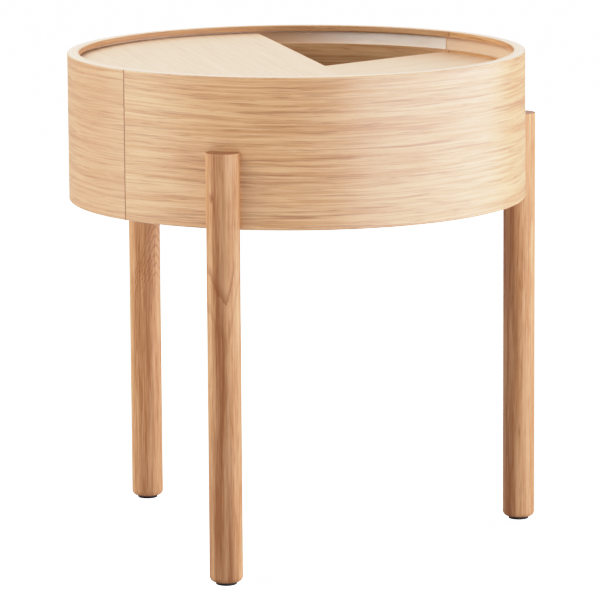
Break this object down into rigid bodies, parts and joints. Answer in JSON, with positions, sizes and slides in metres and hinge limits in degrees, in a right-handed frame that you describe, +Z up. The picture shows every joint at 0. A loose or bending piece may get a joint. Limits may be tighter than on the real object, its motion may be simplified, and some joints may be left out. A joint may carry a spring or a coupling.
{
  "type": "bedside table",
  "caption": "Round oak bedside table: a drum on round legs holds a hidden store, covered by a fixed half lid and a half lid that turns above it in a groove.",
  "frame": {"origin": "on the drum's axis, at floor level", "axes": "+Z up; X runs through the two seams of the drum; +Y towards the rear half shell and the rear leg"},
  "size_m": [0.42, 0.439, 0.453],
  "materials": {
    "oak_veneered_shell": "matt clear lacquer, horizontal straight grain",
    "lid_oak_veneer": "matt clear lacquer, fine pale grain",
    "lid_oak_lipping": "matt clear lacquer, solid oak edge",
    "floor_panel_oak": "matt clear lacquer",
    "leg_oak": "matt oil, long grain up the leg",
    "cleat_oak": "planed, unfinished",
    "beech_dowel": "plain",
    "glide_strip_nylon": "natural, smooth",
    "bush_nylon": "natural, smooth",
    "foot_glide_plastic": "dark, moulded",
    "bolt_steel": "zinc plated",
    "zinc_screw": "zinc plated",
    "insert_brass": "turned"
  },
  "bodies": {
    "cabinet": {"cleat_lid_screws": "zinc_screw", "cleat_wall_screws": "zinc_screw", "fixed_lid": "lid_oak_veneer", "fixed_lid_cleats": "cleat_oak", "fixed_lid_lipping": "lid_oak_lipping", "front_half_shell": "oak_veneered_shell", "front_left_foot_glide": "foot_glide_plastic", "front_left_glide_nail": "zinc_screw", "front_left_leg": "leg_oak", "front_left_leg_bolts": "bolt_steel", "front_left_leg_inserts": "insert_brass", "front_left_leg_washers": "bolt_steel", "front_right_foot_glide": "foot_glide_plastic", "front_right_glide_nail": "zinc_screw", "front_right_leg": "leg_oak", "front_right_leg_bolts": "bolt_steel", "front_right_leg_inserts": "insert_brass", "front_right_leg_washers": "bolt_steel", "groove_glide_strip": "glide_strip_nylon", "pivot_bush": "bush_nylon", "rear_foot_glide": "foot_glide_plastic", "rear_glide_nail": "zinc_screw", "rear_half_shell": "oak_veneered_shell", "rear_leg": "leg_oak", "rear_leg_bolts": "bolt_steel", "rear_leg_inserts": "insert_brass", "rear_leg_washers": "bolt_steel", "seam_dowels": "beech_dowel", "storage_floor": "floor_panel_oak"},
    "turning_lid": {"turning_lid": "lid_oak_veneer", "turning_lid_lipping": "lid_oak_lipping", "pivot_bolt": "bolt_steel", "pivot_thrust_washer": "bush_nylon", "pivot_retaining_washer": "bolt_steel", "pivot_insert": "insert_brass"}
  },
  "joints": [
    {"name": "turning_lid_pivot", "type": "hinge", "parent": "cabinet", "child": "turning_lid", "pos_m": [0, 0, 0.4359], "axis": [0, 0, 1], "continuous": true}
  ]
}
